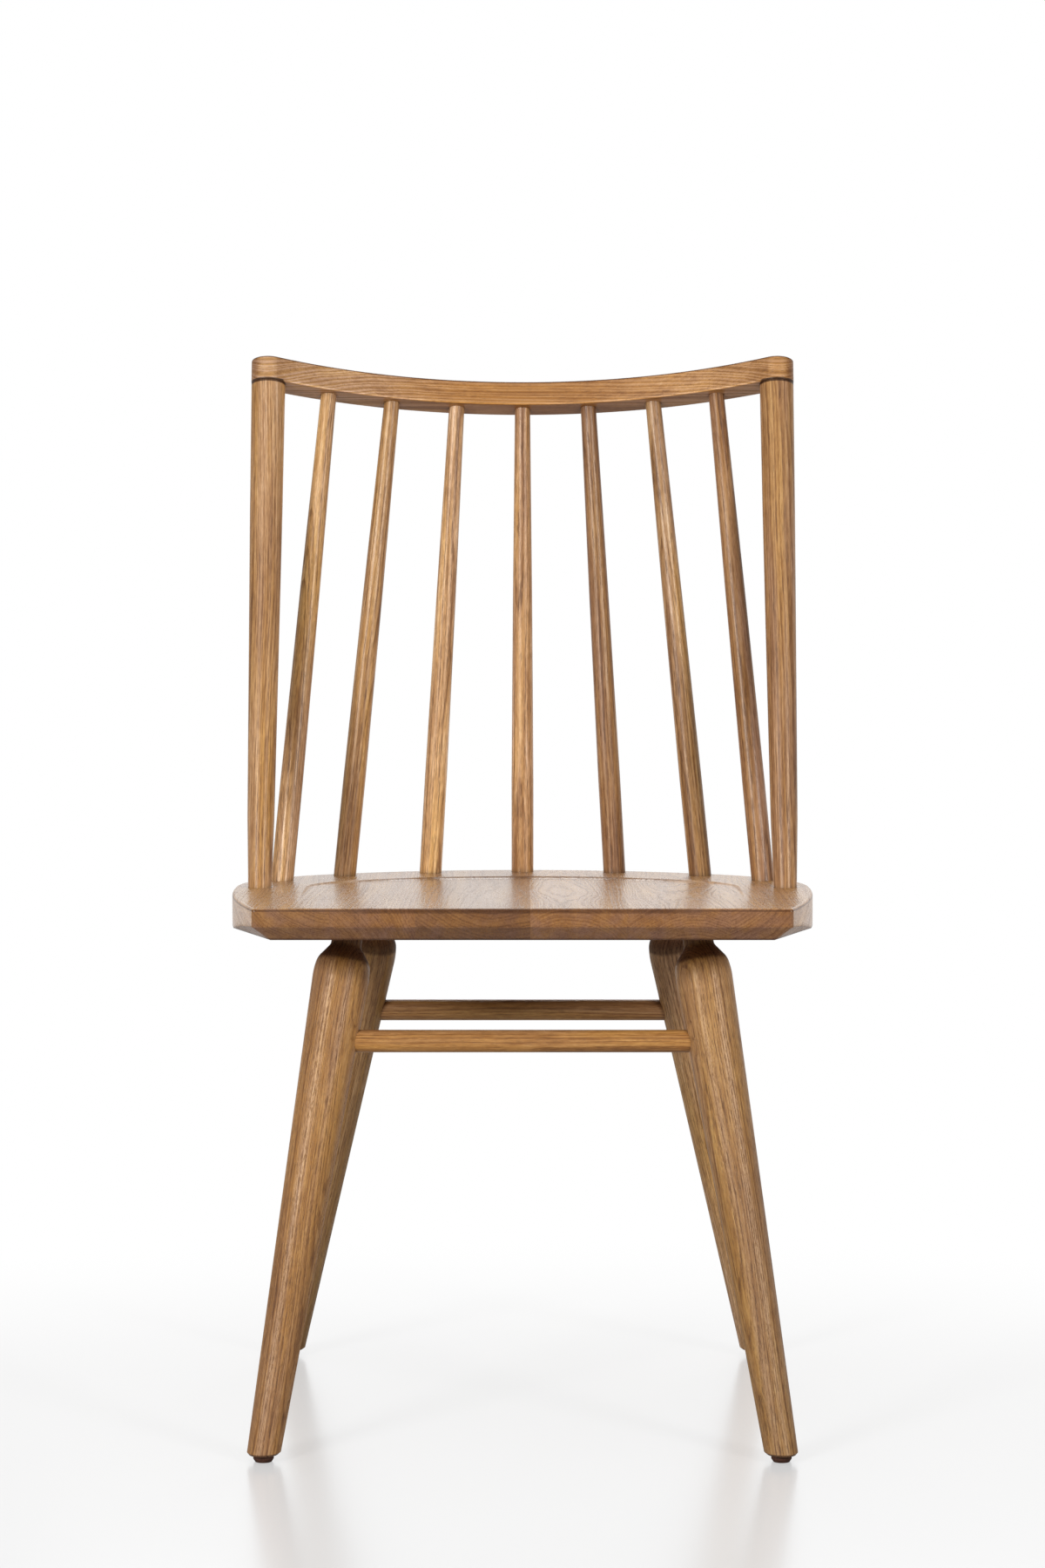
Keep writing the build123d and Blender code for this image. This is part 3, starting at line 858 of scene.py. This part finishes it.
def make_plastic():
    """Brown moulded plastic: cloudy, speckled, paler at the collar and rubbed at the floor."""
    material, net = new_material("glide_plastic")
    place = net.add("ShaderNodeTexCoord").outputs["Object"]
    height = net.parts(place)[2]
    cloud = net.noise(net.scaled(place, *GLIDE_CLOUD_SCALE), detail=3.0, roughness=NOISE_ROUGHNESS)
    speck = net.noise(net.scaled(place, *GLIDE_SPECK_SCALE), roughness=NOISE_ROUGHNESS)
    colour = net.mix(net.span(cloud, *GLIDE_PATCHES), GLIDE_BASE, GLIDE_CLOUD)
    colour = net.mix(net.span(height, *COLLAR_HEIGHT), colour, GLIDE_COLLAR)
    rubbed = net.math("MULTIPLY", net.span(height, *RUBBED_HEIGHT), net.span(speck, *GLIDE_PATCHES))
    colour = net.mix(rubbed, colour, GLIDE_RUBBED)
    roughness = net.math("ADD", GLIDE_ROUGHNESS, net.math("MULTIPLY", speck, GLIDE_ROUGHER))
    bump = net.add("ShaderNodeBump", Height=speck, Strength=0.6, Distance=GLIDE_RELIEF)
    shader = net.add(
        "ShaderNodeBsdfPrincipled", Base_Color=colour, Roughness=roughness, Normal=bump.outputs[0],
        IOR=GLIDE_IOR, Specular_IOR_Level=GLIDE_GLOSS
    )
    net.add("ShaderNodeOutputMaterial", Surface=shader.outputs[0])
    return material


def make_steel():
    """Bright drawn wire with a little tarnish."""
    material, net = new_material("nail_steel")
    place = net.add("ShaderNodeTexCoord").outputs["Object"]
    drawn = net.noise(net.scaled(place, *NAIL_DRAWN_SCALE), roughness=NOISE_ROUGHNESS)
    tarnish = net.noise(net.scaled(place, *NAIL_TARNISH_SCALE), detail=3.0, roughness=NOISE_ROUGHNESS)
    colour = net.mix(net.span(tarnish, *NAIL_PATCHES), NAIL_BRIGHT, NAIL_TARNISH)
    roughness = net.math("ADD", NAIL_ROUGHNESS, net.math("MULTIPLY", drawn, NAIL_ROUGHER))
    bump = net.add("ShaderNodeBump", Height=drawn, Strength=0.5, Distance=NAIL_RELIEF)
    shader = net.add(
        "ShaderNodeBsdfPrincipled", Base_Color=colour, Roughness=roughness, Normal=bump.outputs[0],
        Metallic=1.0
    )
    net.add("ShaderNodeOutputMaterial", Surface=shader.outputs[0])
    return material


plastic = make_plastic()
steel = make_steel()
for corner in ("front_left", "front_right", "rear_left", "rear_right"):
    dress(f"glide_{corner}", plastic)
    dress(f"glide_nail_{corner}", steel)


# Surroundings: plain white to the camera. A gloss sees a room that is white behind the chair, dim in
# front of it and less white far to the sides. The X and Y of a direction run from -1 to 1.

WHITE = rgb(1.0, 1.0, 1.0)
AMBIENT_LEFT = 0.47
AMBIENT_RIGHT = 0.20
AMBIENT_BACK = 0.30
BEHIND_FROM = 0.2

# The soft edge between dim and white stands further back on the right than on the left
ROOM_DIM = 0.15
ROOM_EDGE = (-0.45, 0.25)
EDGE_BACK = (0.15, 0.45)
EDGE_TURN = (-0.2, 0.2)
FAR_SIDE = (0.6, 0.1)
FAR_LEFT = 0.36
FAR_RIGHT = 0.68

world = bpy.data.worlds.new("studio")
world.use_nodes = True
world.node_tree.nodes.clear()
net = Net(world.node_tree)
path = net.add("ShaderNodeLightPath").outputs
x, y, _ = net.parts(net.add("ShaderNodeTexCoord").outputs["Generated"])
sideways = net.span(x, -1.0, 1.0, AMBIENT_LEFT, AMBIENT_RIGHT)
behind = net.span(y, BEHIND_FROM, 1.0, 0.0, AMBIENT_BACK)
ambient = net.add("ShaderNodeBackground", Color=WHITE, Strength=net.math("ADD", sideways, behind))
past_edge = net.math("SUBTRACT", y, net.span(x, *EDGE_TURN, *EDGE_BACK))
room = net.chain(
    "MULTIPLY", net.span(past_edge, *ROOM_EDGE, ROOM_DIM, 1.0),
    net.span(x, *(-side for side in FAR_SIDE), FAR_LEFT, 1.0), net.span(x, *FAR_SIDE, FAR_RIGHT, 1.0)
)
shown = net.math("MAXIMUM", room, path["Is Camera Ray"])
white = net.add("ShaderNodeBackground", Color=WHITE, Strength=shown)
seen = net.chain("MAXIMUM", path["Is Camera Ray"], path["Is Glossy Ray"], path["Is Transmission Ray"])
net.add("ShaderNodeOutputWorld", Surface=net.blend(seen, ambient, white).outputs[0])
scene.world = world
world.cycles.sampling_method = "NONE"


# Floor: satin near the chair, and plain white further off. The camera sees through it from below.

FLOOR_HALF = 14.0
FLOOR_ROUGHNESS = 0.22

# The floor as the camera and a gloss see it, and for the light that it throws back
FLOOR_COLOUR = rgb(0.26, 0.26, 0.26)
FLOOR_GLOSSED = rgb(0.35, 0.35, 0.35)
FLOOR_BOUNCE = rgb(0.36, 0.36, 0.36)
FLOOR_GLOW = 0.47

# How far from this place the floor turns plain white, to the camera and in a gloss
FLOOR_MIDDLE = (0.0, -0.6, 0.0)
CAMERA_FADE = (0.80, 1.45)
GLOSS_FADE = (2.0, 5.0)

floor_mesh = bpy.data.meshes.new("floor")
floor_mesh.from_pydata(
    [(-FLOOR_HALF, -FLOOR_HALF, 0), (FLOOR_HALF, -FLOOR_HALF, 0),
     (FLOOR_HALF, FLOOR_HALF, 0), (-FLOOR_HALF, FLOOR_HALF, 0)],
    [], [(0, 1, 2, 3)]
)
floor = bpy.data.objects.new("floor", floor_mesh)
scene.collection.objects.link(floor)

floor_material, net = new_material("floor")
path = net.add("ShaderNodeLightPath").outputs
from_camera = path["Is Camera Ray"]
glossed = net.math("MAXIMUM", path["Is Glossy Ray"], path["Is Transmission Ray"])
paint = net.mix(from_camera, net.mix(glossed, FLOOR_BOUNCE, FLOOR_GLOSSED), FLOOR_COLOUR)
satin = net.add(
    "ShaderNodeBsdfPrincipled", Base_Color=paint, Roughness=FLOOR_ROUGHNESS, Emission_Color=WHITE,
    Emission_Strength=net.math("MULTIPLY", from_camera, FLOOR_GLOW)
)
glow = net.add("ShaderNodeEmission", Color=WHITE, Strength=1.0)
away = net.vector("SUBTRACT", net.add("ShaderNodeTexCoord").outputs["Object"], FLOOR_MIDDLE)
distance = net.vector("LENGTH", away)
far = net.math(
    "MAXIMUM", net.math("MULTIPLY", from_camera, net.span(distance, *CAMERA_FADE)),
    net.math("MULTIPLY", glossed, net.span(distance, *GLOSS_FADE))
)
clear = net.add("ShaderNodeBsdfTransparent")
from_below = net.math("MULTIPLY", net.add("ShaderNodeNewGeometry").outputs["Backfacing"], from_camera)
surface = net.blend(from_below, net.blend(far, satin, glow), clear)
net.add("ShaderNodeOutputMaterial", Surface=surface.outputs[0])
floor_material.cycles.emission_sampling = "NONE"
floor_mesh.materials.append(floor_material)


# Lamps: two soft boxes in front, a wide one overhead and a soft one behind

# Each lamp's place, the height that it points at over the origin, its width and height, and its watts
LAMPS = {
    "soft_box_left": ((-1.7, -2.4, 1.32), 0.5, 0.7, 0.6, 44.0),
    "soft_box_right": ((1.8, -2.1, 1.30), 0.5, 0.55, 0.6, 28.0),
    "soft_box_top": ((0.0, -0.3, 2.7), 0.4, 2.6, 2.2, 14.0),
    "soft_box_back": ((0.3, 2.6, 1.9), 0.4, 2.4, 1.2, 20.0),
}

for name, (place, target_height, width, height, watts) in LAMPS.items():
    data = bpy.data.lights.new(name, "AREA")
    data.shape = "RECTANGLE"
    data.size = width
    data.size_y = height
    data.energy = watts
    lamp = bpy.data.objects.new(name, data)
    lamp.location = place
    to_target = Vector((0.0, 0.0, target_height)) - Vector(place)
    lamp.rotation_euler = to_target.to_track_quat("-Z", "Y").to_euler()
    lamp.visible_camera = False
    scene.collection.objects.link(lamp)


# View transform

scene.view_settings.view_transform = "Standard"
